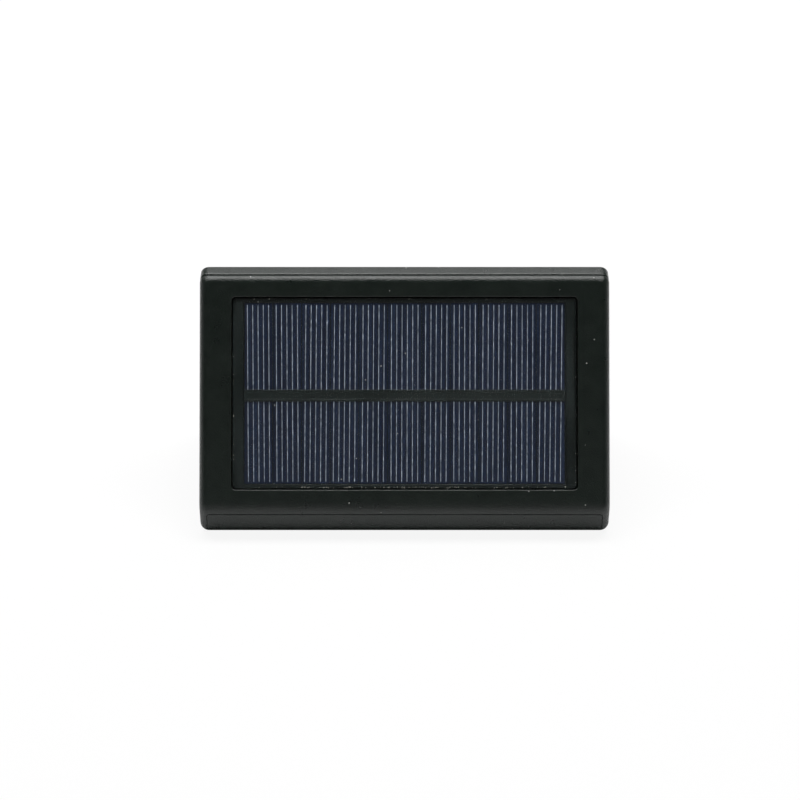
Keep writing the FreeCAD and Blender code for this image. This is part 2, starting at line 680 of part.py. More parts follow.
TROUGH_WALL = 1.4  # wall of the battery's trough
TROUGH_END = 1.6  # end wall of the trough
EAR_THICK = 1.5  # screw ears of the trough
CONTACT_THICK = 0.35  # nickel contact plates
CONTACT_IN = TROUGH_END + 0.05  # contact plate's distance from the trough's outer end
LEAF_THICK = 0.4  # spring leaf
LEAF_WIDE = 4.0
LEAF_HIGH = 6.0
CRADLE_LEFT = -49.0
CRADLE_RIGHT = 9.2
CRADLE_POSTS = [(-24.0, 3.4), (2.0, 3.4)]


def battery_cradle():
    """Half-round trough for the battery, with two fixing ears."""
    low = BATTERY_Z - BATTERY_RADIUS - TROUGH_WALL
    high = BATTERY_Z + BATTERY_RADIUS + TROUGH_WALL
    body = block(CRADLE_LEFT, CRADLE_RIGHT, CRADLE_BACK, CRADLE_FRONT, low, high)
    trough = rod(
        BATTERY_RADIUS + 0.25,
        at(CRADLE_LEFT + TROUGH_END, BATTERY_D, BATTERY_Z),
        at(CRADLE_RIGHT - TROUGH_END, BATTERY_D, BATTERY_Z),
    )
    ears = []
    holes = [trough]
    for x, z in CRADLE_POSTS:
        ears.append(block(x - 3, x + 3, CRADLE_BACK, CRADLE_BACK + EAR_THICK, high - 1, z))
        ears.append(rod(3.0, at(x, CRADLE_BACK, z), at(x, CRADLE_BACK + EAR_THICK, z)))
        holes.append(rod(SCREW_HOLE, at(x, 0, z), at(x, CRADLE_FRONT, z)))
    return body.fuse(ears).cut(holes).removeSplitter()


def battery_spring():
    """Bent leaf that presses on the battery's flat end."""
    start = CRADLE_LEFT + TROUGH_END + CONTACT_THICK + 0.07
    reach = BATTERY_X - 0.03 - start
    thick = LEAF_THICK
    half = LEAF_HIGH / 2
    low = BATTERY_Z - half
    corners = [
        at(start, 0, low),
        at(start + thick, 0, low),
        at(start + reach, 0, BATTERY_Z - thick),
        at(start + reach, 0, BATTERY_Z + thick),
        at(start + thick, 0, low + 2 * half),
        at(start + 2 * thick, 0, low + 2 * half + thick),
        at(start, 0, low + 2 * half + thick),
        at(start, 0, low + 2 * half - thick),
        at(start + reach - thick, 0, BATTERY_Z),
        at(start, 0, low + thick),
    ]
    outline = Part.makePolygon(corners + [corners[0]])
    outline.translate(at(0, BATTERY_D - LEAF_WIDE / 2, 0))
    return Part.Face(outline).extrude(at(0, LEAF_WIDE, 0))


def battery_contacts():
    """Nickel plates at both ends of the trough, with solder tags."""
    plates = []
    for x in (CRADLE_LEFT + CONTACT_IN, CRADLE_RIGHT - CONTACT_IN - 0.5):
        plate = block(x, x + CONTACT_THICK, BATTERY_D - 4, BATTERY_D + 4, BATTERY_Z - 4, BATTERY_Z + 4)
        tag = block(x, x + CONTACT_THICK, BATTERY_D + 2, BATTERY_D + 5.0, BATTERY_Z + 4, BATTERY_Z + 7)
        plates.append(plate.fuse(tag).removeSplitter())
    return Part.makeCompound(plates)


BOARD_LEFT = 13.0
BOARD_RIGHT = 49.4
BOARD_LOW = -21.0
BOARD_HIGH = 9.0
BOARD_POSTS = [(16.5, 5.5), (45.5, -12.5)]


def control_board():
    """Charging and switching circuit board, upright behind the slope."""
    board = block(BOARD_LEFT, BOARD_RIGHT, BOARD_BACK, BOARD_FRONT, BOARD_LOW, BOARD_HIGH)
    holes = [rod(SCREW_HOLE, at(x, 0, z), at(x, 20, z)) for x, z in BOARD_POSTS]
    return board.cut(holes)


def driver_chip():
    """Eight-legged controller chip."""
    body = block(26, 31, BOARD_FRONT + 0.2, BOARD_FRONT + 1.7, -4, 0)
    legs = []
    for i in range(4):
        x = 26.6 + 1.27 * i
        legs.append(block(x - 0.2, x + 0.2, BOARD_FRONT, BOARD_FRONT + 0.8, -5.0, -3.9))
        legs.append(block(x - 0.2, x + 0.2, BOARD_FRONT, BOARD_FRONT + 0.8, -0.1, 1.0))
    return body.fuse(legs).removeSplitter()


def charge_coil():
    """Wound inductor on the control board."""
    base = at(38.5, BOARD_FRONT, 0)
    ahead = at(0, 1, 0)
    parts = [rod(3.2, base, base + ahead * 1.0)]
    parts.append(rod(2.6, base + ahead * 0.9, base + ahead * 3.6))
    parts.append(rod(3.2, base + ahead * 3.5, base + ahead * 4.5))
    return parts[0].fuse(parts[1:]).removeSplitter()


def capacitors():
    """Two can capacitors on the control board."""
    cans = []
    for x, z in ((20.5, -8.5), (46.0, 4.5)):
        tip = at(x, BOARD_FRONT + 5.0, z)
        can = rod(2.0, at(x, BOARD_FRONT, z), tip)
        rim = [e for e in can.Edges if (e.CenterOfMass - tip).Length < 0.01]
        cans.append(can.makeFillet(0.4, rim))
    return Part.makeCompound(cans)


SWITCH_LOW = STEM_TOP + 2.0
SWITCH_HIGH = SWITCH_LOW + 7.6
SWITCH_FRONT = 3.3  # how far the switch stands in front of the button's middle
PLUNGER = 1.6  # plunger radius


def push_switch():
    """Switch body on the board's lower edge, with a bore for its plunger."""
    body = block(
        BUTTON_X - 4, BUTTON_X + 4, BOARD_FRONT, BUTTON_D + SWITCH_FRONT, SWITCH_LOW, SWITCH_HIGH
    )
    return body.cut(button_disc(PLUNGER + 0.1, SWITCH_LOW - 1, SWITCH_HIGH - 2))


def switch_plunger():
    """Plunger that the button's stem pushes into the switch."""
    top = SWITCH_HIGH - 2 - BUTTON_TRAVEL - 0.4
    return button_disc(PLUNGER, STEM_TOP, top)


def button_disc(radius, low, high):
    """A round bar on the button's axis."""
    return rod(radius, at(BUTTON_X, BUTTON_D, low), at(BUTTON_X, BUTTON_D, high))


def button():
    """Round push button: a face, and a stem grooved for its clip."""
    low = BASE + BUTTON_RECESS
    face = button_disc(BUTTON_RADIUS, low, BUTTON_SHOULDER)
    rim = [e for e in face.Edges if abs(e.CenterOfMass.z - low) < 0.01 and len(e.Vertexes) == 1]
    face = face.makeFillet(0.5, rim)
    stem = button_disc(STEM_RADIUS, BUTTON_SHOULDER, STEM_TOP)
    clip_low = STEM_TOP - 1.1
    groove = button_disc(STEM_RADIUS + 1, clip_low, clip_low + 0.6)
    groove = groove.cut(button_disc(STEM_GROOVE, clip_low, clip_low + 0.6))
    dimple = Part.makeSphere(12.0, at(BUTTON_X, BUTTON_D, low - 11.75))
    return face.fuse(stem).cut([groove, dimple]).removeSplitter()


def button_clip():
    """Open retaining clip in the stem's groove."""
    low = STEM_TOP - 1.05
    outer = button_disc(CLIP_RADIUS, low, low + 0.5)
    inner = button_disc(STEM_GROOVE + 0.05, low - 1, low + 1)
    mouth = block(BUTTON_X - 1.2, BUTTON_X + 1.2, BUTTON_D, BUTTON_D + 5, low - 1, low + 1)
    return outer.cut([inner, mouth])


def button_seal():
    """Silicone ring at the top of the sleeve, round the stem."""
    outer = button_disc(SLEEVE_RADIUS - 0.2, SLEEVE_TOP, SLEEVE_TOP + SEAL_RING)
    return outer.cut(button_disc(STEM_RADIUS + 0.1, SLEEVE_TOP - 1, SLEEVE_TOP + 2))


def button_boot():
    """Folded silicone boot that seals the button and pushes it back out."""
    low = BUTTON_SHOULDER + 0.02
    step = (SLEEVE_TOP - 0.02 - low) / (2 * BOOT_FOLDS)
    inner = []
    outer = []
    for i in range(2 * BOOT_FOLDS + 1):
        radius = BOOT_INNER + (BOOT_FOLD if i % 2 else 0)
        inner.append(at(BUTTON_X + radius, BUTTON_D, low + i * step))
        outer.append(at(BUTTON_X + radius + BOOT_THICK, BUTTON_D, low + i * step))
    section = Part.makePolygon(outer + inner[::-1] + [outer[0]])
    up = FreeCAD.Vector(0, 0, 1)
    return Part.Face(section).revolve(at(BUTTON_X, BUTTON_D, 0), up, 360)


def case_screws():
    """Four screws through the back cover."""
    ahead = at(0, 1, 0)
    head = SCREW_SINK - HEAD_HEIGHT
    places = [(x, z) for x in pair(BACK_SCREW_X) for z in pair(BACK_SCREW_Z)]
    return Part.makeCompound([screw(at(x, head, z), ahead, 8.5) for x, z in places])


def bezel_screws():
    """Four screws up through the bezel."""
    up = FreeCAD.Vector(0, 0, 1)
    head = BASE + SCREW_SINK - HEAD_HEIGHT
    places = [(x, d) for x in pair(BEZEL_SCREW_X) for d in BEZEL_SCREW_D]
    return Part.makeCompound([screw(at(x, d, head), up, 7.0) for x, d in places])


def reflector_screws():
    """Two screws down through the reflector's ears."""
    down = FreeCAD.Vector(0, 0, -1)
    seat = REFLECTOR_TOP - EAR_DROP
    return Part.makeCompound(
        [screw(at(x, LENS_MID, seat + HEAD_HEIGHT), down, 5.5) for x in pair(BEZEL_SCREW_X)]
    )


def inner_screws(posts, seat):
    """Screws that hold a piece on the back cover's posts."""
    back = at(0, -1, 0)
    return Part.makeCompound([screw(at(x, seat + HEAD_HEIGHT, z), back, 6.0) for x, z in posts])


def lead(points):
    """An insulated wire: straight runs joined by tangent arcs."""
    edges = []
    here = points[0]
    for i in range(1, len(points) - 1):
        before = points[i - 1] - points[i]
        after = points[i + 1] - points[i]
        turn = math.pi - before.getAngle(after)
        shorter = min(before.Length, after.Length)
        radius = 0.45 * shorter / math.tan(turn / 2)
        cut = radius * math.tan(turn / 2)
        before.normalize()
        after.normalize()
        start = points[i] + before * cut
        end = points[i] + after * cut
        inward = before + after
        inward.normalize()
        middle = points[i] + inward * (radius / math.cos(turn / 2) - radius)
        edges.append(Part.LineSegment(here, start).toShape())
        edges.append(Part.Arc(start, middle, end).toShape())
        here = end
        print(f"lead bend radius {radius:.1f} mm")
    edges.append(Part.LineSegment(here, points[-1]).toShape())
    path = Part.Wire(edges)
    section = Part.Wire(Part.makeCircle(WIRE_RADIUS, points[0], points[1] - points[0]))
    tube = path.makePipeShell([section], True, False)
    straight = math.pi * WIRE_RADIUS**2 * path.Length
    print(f"lead {path.Length:.1f} mm long, volume {tube.Volume:.2f} against {straight:.2f}")
    return tube


def slope_point(x, v, w):
    """A point given on the solar face."""
    d = FACE_MID_D - v * SIN_TILT + w * COS_TILT
    z = FACE_MID_Z + v * COS_TILT + w * SIN_TILT
    return at(x, d, z)


def solar_lead(shift, land):
    """From the panel's back, through the pocket floor, to the control board."""
    back = -POCKET_DEPTH + FOAM
    return lead(
        [
            slope_point(LEAD_X + shift, LEAD_V, back),
            slope_point(LEAD_X + shift, LEAD_V, back - 6),
            at(land, BOARD_FRONT + 6, -8.0),
            at(land, BOARD_FRONT, -8.0),
        ]
    )


def lamp_lead(x, land_x, land_z):
    """From the lamp board's back up to the control board."""
    return lead(
        [
            at(x, LENS_MID - 4, LAMP_TOP),
            at(x, LENS_MID - 4, LAMP_TOP + 6),
            at(land_x, BOARD_FRONT + 7, land_z),
            at(land_x, BOARD_FRONT, land_z),
        ]
    )


def battery_lead_plus():
    """From the positive contact's tag to the control board."""
    tag_x = CRADLE_RIGHT - 1.8
    return lead(
        [
            at(tag_x, BATTERY_D + 3.5, BATTERY_Z + 5.5),
            at(tag_x + 4.6, BATTERY_D + 3.5, BATTERY_Z + 5.5),
            at(tag_x + 9.6, BOARD_FRONT + 5, BATTERY_Z + 4.5),
            at(tag_x + 9.6, BOARD_FRONT, BATTERY_Z + 4.5),
        ]
    )


def battery_lead_minus():
    """From the negative contact's tag, along the top of the cradle, to the control board."""
    tag_x = CRADLE_LEFT + 1.83
    return lead(
        [
            at(tag_x, BATTERY_D + 3.5, BATTERY_Z + 7),
            at(tag_x, BATTERY_D + 3.5, BATTERY_Z + 10.2),
            at(tag_x + 8, BATTERY_D - 0.5, BATTERY_Z + 12),
            at(tag_x + 24, BATTERY_D - 2.8, BATTERY_Z + 13.4),
            at(-5.0, BATTERY_D - 2.2, BATTERY_Z + 14.4),
            at(11.0, BATTERY_D - 1.4, BATTERY_Z + 13),
            at(21.0, BATTERY_D - 2, BATTERY_Z + 11),
            at(21.0, BOARD_FRONT, BATTERY_Z + 11),
        ]
    )


def build():
    """Every sub-part by its name."""
    body = envelope()
    return {
        "front_case": front_case(body),
        "back_cover": back_cover(body),
        "back_seal": back_seal(),
        "lens_bezel": lens_bezel(body),
        "bezel_seal": bezel_seal(),
        "diffuser_lens": diffuser_lens(),
        "lens_seal": lens_seal(),
        "reflector_tray": reflector_tray(),
        "lamp_board": lamp_board(),
        "lamp_chips": lamp_chips(),
        "panel_foam": panel_foam(),
        "panel_board": panel_board(),
        "solar_cells": solar_cells(),
        "busbar_ribbon": busbar_ribbon(),
        "busbar_tape": busbar_tape(),
        "panel_film": panel_film(),
        "battery": battery(),
        "battery_cradle": battery_cradle(),
        "battery_spring": battery_spring(),
        "battery_contacts": battery_contacts(),
        "control_board": control_board(),
        "driver_chip": driver_chip(),
        "charge_coil": charge_coil(),
        "capacitors": capacitors(),
        "push_switch": push_switch(),
        "switch_plunger": switch_plunger(),
        "button": button(),
        "button_clip": button_clip(),
        "button_seal": button_seal(),
        "button_boot": button_boot(),
        "case_screws": case_screws(),
        "bezel_screws": bezel_screws(),
        "reflector_screws": reflector_screws(),
        "cradle_screws": inner_screws(CRADLE_POSTS, CRADLE_BACK + EAR_THICK),
        "board_screws": inner_screws(BOARD_POSTS, BOARD_FRONT),
        "solar_lead_red": solar_lead(-1.0, 25.0),
        "solar_lead_black": solar_lead(1.0, 29.0),
        "lamp_lead_red": lamp_lead(36.0, 40.5, -7.5),
        "lamp_lead_black": lamp_lead(33.0, 36.5, -7.5),
        "battery_lead_red": battery_lead_plus(),
        "battery_lead_black": battery_lead_minus(),
    }


def main():
    """Writes one STEP file per sub-part."""
    os.makedirs("parts", exist_ok=True)
    print(f"width {WIDTH:.1f}, depth {DEPTH:.1f}, height {HEIGHT:.1f}")
    for name, shape in build().items():
        print(f"{name}: {len(shape.Solids)} solids, {shape.Volume:.1f} mm3, valid {shape.isValid()}")
        shape.exportStep(f"parts/{name}.step")


main()
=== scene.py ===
# %% [markdown]
# # Dressing a solar fence light
# The frame holds the whole light as solid pieces: a wedge-shaped black case, its flat back cover, the lamp
# bezel underneath, a solar panel under clear film, and everything inside. This lesson gives each piece its
# finish, adds the fine conductor lines that lie on the solar cells, and sets up a plain studio.

# %% Load the frame
import json
import math
import random

import bmesh
import bpy
from mathutils import Matrix, Vector


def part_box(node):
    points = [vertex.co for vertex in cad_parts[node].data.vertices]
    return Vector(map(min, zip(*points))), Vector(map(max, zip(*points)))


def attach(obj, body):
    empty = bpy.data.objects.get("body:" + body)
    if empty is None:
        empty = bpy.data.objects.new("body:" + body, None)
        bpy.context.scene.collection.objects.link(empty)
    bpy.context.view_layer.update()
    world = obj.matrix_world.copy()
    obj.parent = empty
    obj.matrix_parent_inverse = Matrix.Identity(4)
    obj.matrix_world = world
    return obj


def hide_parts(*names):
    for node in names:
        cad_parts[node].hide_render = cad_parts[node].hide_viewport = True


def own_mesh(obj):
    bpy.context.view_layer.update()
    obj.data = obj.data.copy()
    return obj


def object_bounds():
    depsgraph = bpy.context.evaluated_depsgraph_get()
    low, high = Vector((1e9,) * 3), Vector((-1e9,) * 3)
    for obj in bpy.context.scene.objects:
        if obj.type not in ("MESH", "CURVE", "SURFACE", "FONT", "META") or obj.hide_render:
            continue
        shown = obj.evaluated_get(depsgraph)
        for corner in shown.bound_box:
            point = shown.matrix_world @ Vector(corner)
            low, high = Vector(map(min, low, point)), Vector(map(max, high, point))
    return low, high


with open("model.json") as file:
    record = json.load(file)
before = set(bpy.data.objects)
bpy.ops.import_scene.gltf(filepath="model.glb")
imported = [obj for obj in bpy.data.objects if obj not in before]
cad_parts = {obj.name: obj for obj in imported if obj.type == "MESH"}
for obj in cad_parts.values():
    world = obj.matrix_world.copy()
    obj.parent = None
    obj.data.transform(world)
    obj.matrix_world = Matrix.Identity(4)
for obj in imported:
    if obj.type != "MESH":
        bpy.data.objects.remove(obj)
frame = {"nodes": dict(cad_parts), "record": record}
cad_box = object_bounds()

MM = 0.001
print("pieces in the frame:", len(frame["nodes"]))

# %% [markdown]
# ## Where things are
# Most places below are worked out from the boxes of the frame's pieces. A few sizes, such as the pitch and
# the lean of the lines on the cells, follow the photo instead. The solar face leans back 40 degrees from
# upright. Its own directions are handy: across the light, up the slope, and straight out of the face.

# %% Directions of the solar face
TILT = math.radians(40)
ACROSS = Vector((1, 0, 0))
UP_SLOPE = Vector((0, math.sin(TILT), math.cos(TILT)))
OUTWARD = ACROSS.cross(UP_SLOPE)
cells_low, cells_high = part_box("solar_cells")
cells_middle = (cells_low + cells_high) / 2
cells_width = cells_high.x - cells_low.x
face_to_world = Matrix((ACROSS, UP_SLOPE, OUTWARD)).transposed().to_4x4()
face_to_world.translation = cells_middle
print("cells are", round(cells_width / MM, 1), "mm wide, facing", [round(v, 2) for v in OUTWARD])

# %% [markdown]
# ## Smooth shading on the frame's pieces
# The frame's meshes are loose triangles. A Weld modifier joins them for shading only and an Edge Split
# modifier keeps the real edges crisp, so rounded corners catch a smooth highlight while the mesh itself
# stays as it came.

# %% Shade the moulded pieces smoothly
WELD_DISTANCE = 0.002 * MM
SHARP_ANGLE = math.radians(32)


def shade_smoothly(piece):
    weld = piece.modifiers.new("join_for_shading", "WELD")
    weld.merge_threshold = WELD_DISTANCE
    split = piece.modifiers.new("keep_edges", "EDGE_SPLIT")
    split.split_angle = SHARP_ANGLE
    for face in piece.data.polygons:
        face.use_smooth = True


for name, piece in frame["nodes"].items():
    shade_smoothly(piece)
print("smooth shading on", len(frame["nodes"]), "pieces")

# %% [markdown]
# ## Conductor lines on the cells
# Screen-printed silver lines run the length of each cell strip. They could be painted by the material, but
# they stand 0.03 mm proud and catch light, so each is a thin bar. A cube, scaled and moved into place, is
# added once per line; the dark tape across the middle hides the joint, so each line is made in two halves.
# Strips laid by hand are never quite parallel, so each one's lines lean by a fraction of a millimetre.

# %% Build the conductor lines
LINE_PITCH = 1.55 * MM
LINE_WIDTH = 0.22 * MM
LINE_HEIGHT = 0.03 * MM
CELL_COUNT = 11
CELL_PITCH = 8.37 * MM
CELL_LENGTH = 52.6 * MM
CELL_THICK = 0.2 * MM
BAR_FACES = 6
TAPE_HALF = 1.75 * MM
TAPE_SHIFT = -0.7 * MM
LINE_SHORT = 0.5 * MM  # how far a line stops short of the end of its strip
STRIP_LINES = 5
MIDDLE_STRIP_LINES = 6
# How far each strip leans, as a sideways slope, from left to right.
LINE_LEAN = [0.008, 0.006, -0.007, -0.007, -0.006, -0.003, -0.006, -0.003, -0.007, -0.005, -0.012]


def strip_places():
    """The middle of each cell strip across the panel, and how many lines it carries."""
    middle = CELL_COUNT // 2
    for i in range(CELL_COUNT):
        side = i - middle
        if side == 0:
            yield 0.0, MIDDLE_STRIP_LINES
        else:
            reach = CELL_PITCH + LINE_PITCH / 2 + CELL_PITCH * (abs(side) - 1)
            yield math.copysign(reach, side), STRIP_LINES


def add_bar(mesh, across, low, high, lean, width, height):
    """Adds a thin bar to a bmesh, in the face's own directions; lean is its sideways slope."""
    size = Matrix.Diagonal((width, high - low, height, 1))
    middle = (low + high) / 2
    turn = Matrix.Rotation(math.atan(lean), 4, "Z")
    place = Matrix.Translation((across - lean * middle, middle, (CELL_THICK + height) / 2))
    bmesh.ops.create_cube(mesh, size=1.0, matrix=place @ turn @ size)


def finish_piece(name, mesh, body="lamp"):
    """Turns a bmesh, made in the frame's own axes, into a piece that rides on a body."""
    data = bpy.data.meshes.new(name)
    mesh.to_mesh(data)
    mesh.free()
    piece = bpy.data.objects.new(name, data)
    bpy.context.scene.collection.objects.link(piece)
    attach(piece, body)
    return piece


def bars_on_every_strip(name, sideways, width, height):
    """One bar per conductor line, moved sideways from it, as one piece lying on the cells."""
    bars = bmesh.new()
    line_end = CELL_LENGTH / 2 - LINE_SHORT
    for (strip_x, count), lean in zip(strip_places(), LINE_LEAN):
        for i in range(count):
            x = strip_x + (i - (count - 1) / 2) * LINE_PITCH + sideways
            add_bar(bars, x, -line_end, TAPE_SHIFT - TAPE_HALF, lean, width, height)
            add_bar(bars, x, TAPE_SHIFT + TAPE_HALF, line_end, lean, width, height)
    bmesh.ops.transform(bars, matrix=face_to_world, verts=bars.verts)
    return finish_piece(name, bars)


cell_lines = bars_on_every_strip("cell_lines", 0.0, LINE_WIDTH, LINE_HEIGHT)
print("conductor lines:", len(cell_lines.data.polygons) // BAR_FACES)

# %% [markdown]
# ## Dark stripes beside the lines
# Each printed line gets a painted shadow, a stripe of dark silicon colour along one side. It is flatter than
# the line, so a bar a third as high does, and it stops short of the line so that the two never lie in one
# place.

# %% Build the painted shadow stripes
SHADE_WIDTH = 0.30 * MM
SHADE_GAP = 0.02 * MM
shade_middle = -(LINE_WIDTH + SHADE_WIDTH) / 2 - SHADE_GAP
painted_shadow_bars = bars_on_every_strip("painted_shadow_bars", shade_middle, SHADE_WIDTH, LINE_HEIGHT / 3)
print("dark stripes:", len(painted_shadow_bars.data.polygons) // BAR_FACES)

# %% [markdown]
# ## Dust in the seam
# The groove round the panel holds pale dust, most of it along the lower edge. Each speck is a tiny
# flattened ball. Its place is drawn from a random series with a fixed start, so every run gives the same
# specks. They sit on the rim of the film, just inside the groove, and only roughly follow where the
# photo's dust lies.

# %% Build the specks
film = frame["nodes"]["panel_film"]
to_face = face_to_world.inverted()
film_points = [to_face @ (film.matrix_world @ vertex.co) for vertex in film.data.vertices]
film_half_wide = max(point.x for point in film_points)
film_half_tall = max(point.y for point in film_points)
film_top = max(point.z for point in film_points)
SPECKS_BELOW = 96
SPECKS_BESIDE = 16
SPECKS_ABOVE = 7
RIM_INSET = 0.25 * MM
SPECK_RADII = (0.05, 0.14)  # smallest and largest, in millimetres
SPECK_FACES = 20  # the undivided ball
chance = random.Random(11)


def seam_places():
    """Places along the film's rim: many below, a few at the sides and the top."""
    for _ in range(SPECKS_BELOW):
        across = chance.triangular(-film_half_wide, film_half_wide, 0.1 * film_half_wide)
        yield across, -film_half_tall + RIM_INSET * chance.uniform(0.6, 1.8)
    for _ in range(SPECKS_BESIDE):
        side = chance.choice((-1, 1)) * (film_half_wide - RIM_INSET)
        yield side, chance.uniform(-0.97, 0.4) * film_half_tall
    for _ in range(SPECKS_ABOVE):
        yield chance.uniform(-0.9, 0.9) * film_half_wide, film_half_tall - RIM_INSET


specks = bmesh.new()
for across, up in seam_places():
    size = chance.uniform(*SPECK_RADII) * MM
    shape = Matrix.Diagonal((size * chance.uniform(0.8, 1.5), size, size * 0.5, 1))
    place = Matrix.Translation((across, up, film_top))
    bmesh.ops.create_icosphere(specks, subdivisions=1, radius=1.0, matrix=place @ shape)
bmesh.ops.transform(specks, matrix=face_to_world, verts=specks.verts)
seam_dust = finish_piece("seam_dust", specks)
print("specks:", len(seam_dust.data.polygons) // SPECK_FACES)

# %% [markdown]
# ## The button's folded boot
# A silicone boot seals the button and pushes it back out; it folds up as the button goes in. The frame's
# boot is rigid, so this one takes its place: the same zigzag section, turned round the button's axis.

# %% Turn the boot's section round its axis
BOOT_FOLDS = 3
BOOT_FOLD = 0.4 * MM
BOOT_THICK = 0.35 * MM
BOOT_SIDES = 48
boot_low, boot_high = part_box("button_boot")
boot_middle = (boot_low + boot_high) / 2
boot_tall = boot_high.z - boot_low.z
boot_radius = (boot_high.x - boot_low.x) / 2


def boot_section():
    """The zigzag outline as radius and height, up the outside and back down the inside."""
    outside = []
    for i in range(2 * BOOT_FOLDS + 1):
        radius = boot_radius if i % 2 else boot_radius - BOOT_FOLD
        outside.append((radius, boot_low.z + boot_tall * i / (2 * BOOT_FOLDS)))
    inside = [(radius - BOOT_THICK, z) for radius, z in reversed(outside)]
    return outside + inside


turned = bmesh.new()
section = [(boot_middle.x + radius, boot_middle.y, z) for radius, z in boot_section()]
corners = [turned.verts.new(place) for place in section]
outline = [turned.edges.new(ends) for ends in zip(corners, corners[1:] + corners[:1])]
axis = {"cent": boot_middle, "axis": (0, 0, 1), "angle": math.tau}
bmesh.ops.spin(turned, geom=corners + outline, steps=BOOT_SIDES, use_merge=True, **axis)
bmesh.ops.remove_doubles(turned, verts=turned.verts, dist=0.001 * MM)
bmesh.ops.recalc_face_normals(turned, faces=turned.faces)
soft_boot = finish_piece("soft_boot", turned)
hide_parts("button_boot")
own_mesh(soft_boot)

# %% [markdown]
# ## Shared effects
# Three effects appear on several finishes: the fine grain of moulded plastic, a slow blotchiness that keeps
# large areas from looking flat, and pale dust. Each is a node group that reads the piece's own coordinates,
# so the pattern stays put when the camera or the piece moves.


# %% Helpers for node groups and materials
def new_group(name, inputs, outputs):
    """An empty shader node group with named sockets."""
    group = bpy.data.node_groups.new(name, "ShaderNodeTree")
    for label, kind, value in inputs:
        socket = group.interface.new_socket(label, in_out="INPUT", socket_type=kind)
        socket.default_value = value
    for label, kind in outputs:
        group.interface.new_socket(label, in_out="OUTPUT", socket_type=kind)
    start = group.nodes.new("NodeGroupInput")
    end = group.nodes.new("NodeGroupOutput")
    return group, start, end


def add_node(tree, kind, **values):
    """A node with its input sockets or settings filled in by name."""
    node = tree.nodes.new(kind)
    for label, value in values.items():
        if label in node.inputs:
            node.inputs[label].default_value = value
        elif label.replace("_", " ").title() in node.inputs:
            node.inputs[label.replace("_", " ").title()].default_value = value
        else:
            setattr(node, label, value)
    return node


def add_math(tree, operation, first, second=None, clamp=False):
    """A math node whose inputs are numbers or sockets."""
    node = tree.nodes.new("ShaderNodeMath")
    node.operation = operation
    node.use_clamp = clamp
    for i, value in enumerate((first, second)):
        if value is None:
            continue
        if isinstance(value, bpy.types.NodeSocket):
            tree.links.new(value, node.inputs[i])
        else:
            node.inputs[i].default_value = value
    return node.outputs[0]


def add_ramp(tree, factor, stops):
    """A colour ramp from a list of (position, colour or grey)."""
    ramp = tree.nodes.new("ShaderNodeValToRGB")
    elements = ramp.color_ramp.elements
    while len(elements) < len(stops):
        elements.new(0.5)
    for element, (place, colour) in zip(elements, stops):
        element.position = place
        element.color = (colour, colour, colour, 1) if isinstance(colour, float) else (*colour, 1)
    tree.links.new(factor, ramp.inputs["Fac"])
    return ramp.outputs["Color"]


print("helpers ready")

# %% [markdown]
# ## The three shared groups
# Grain adds a fine noise to a little of a broad one, so that highlights break up unevenly. The blotches
# mix two tones and two roughnesses by the same noise. Dust picks a few cells of a Voronoi pattern and
# paints a small disc in each, which gives round specks that never overlap.


# %% Grain, blotches and dust
def make_grain():
    group, start, end = new_group(
        "moulded_grain",
        [
            ("Grain Size", "NodeSocketFloat", 3000.0),
            ("Wave Size", "NodeSocketFloat", 90.0),
            ("Wave Share", "NodeSocketFloat", 0.15),
        ],
        [("Height", "NodeSocketFloat")],
    )
    place = group.nodes.new("ShaderNodeTexCoord").outputs["Object"]
    fine = add_node(group, "ShaderNodeTexNoise", detail=2.0, roughness=0.6)
    broad = add_node(group, "ShaderNodeTexNoise", detail=1.0)
    group.links.new(place, fine.inputs["Vector"])
    group.links.new(place, broad.inputs["Vector"])
    group.links.new(start.outputs["Grain Size"], fine.inputs["Scale"])
    group.links.new(start.outputs["Wave Size"], broad.inputs["Scale"])
    wave = add_math(group, "MULTIPLY", broad.outputs["Fac"], start.outputs["Wave Share"])
    height = add_math(group, "ADD", fine.outputs["Fac"], wave)
    group.links.new(height, end.inputs["Height"])
    return group


def make_blotches():
    group, start, end = new_group(
        "slow_blotches",
        [
            ("Size", "NodeSocketFloat", 60.0),
            ("Dark", "NodeSocketColor", (0.01, 0.01, 0.01, 1)),
            ("Light", "NodeSocketColor", (0.02, 0.02, 0.02, 1)),
            ("Rough Low", "NodeSocketFloat", 0.4),
            ("Rough High", "NodeSocketFloat", 0.5),
        ],
        [("Color", "NodeSocketColor"), ("Roughness", "NodeSocketFloat")],
    )
    place = group.nodes.new("ShaderNodeTexCoord").outputs["Object"]
    noise = add_node(group, "ShaderNodeTexNoise", detail=4.0, roughness=0.55)
    group.links.new(place, noise.inputs["Vector"])
    group.links.new(start.outputs["Size"], noise.inputs["Scale"])
    spread = group.nodes.new("ShaderNodeMapRange")
    spread.inputs["From Min"].default_value = 0.3
    spread.inputs["From Max"].default_value = 0.7
    group.links.new(noise.outputs["Fac"], spread.inputs["Value"])
    mix = group.nodes.new("ShaderNodeMix")
    mix.data_type = "RGBA"
    group.links.new(spread.outputs["Result"], mix.inputs["Factor"])
    group.links.new(start.outputs["Dark"], mix.inputs["A"])
    group.links.new(start.outputs["Light"], mix.inputs["B"])
    rough = group.nodes.new("ShaderNodeMapRange")
    group.links.new(spread.outputs["Result"], rough.inputs["Value"])
    group.links.new(start.outputs["Rough Low"], rough.inputs["To Min"])
    group.links.new(start.outputs["Rough High"], rough.inputs["To Max"])
    group.links.new(mix.outputs["Result"], end.inputs["Color"])
    group.links.new(rough.outputs["Result"], end.inputs["Roughness"])
    return group


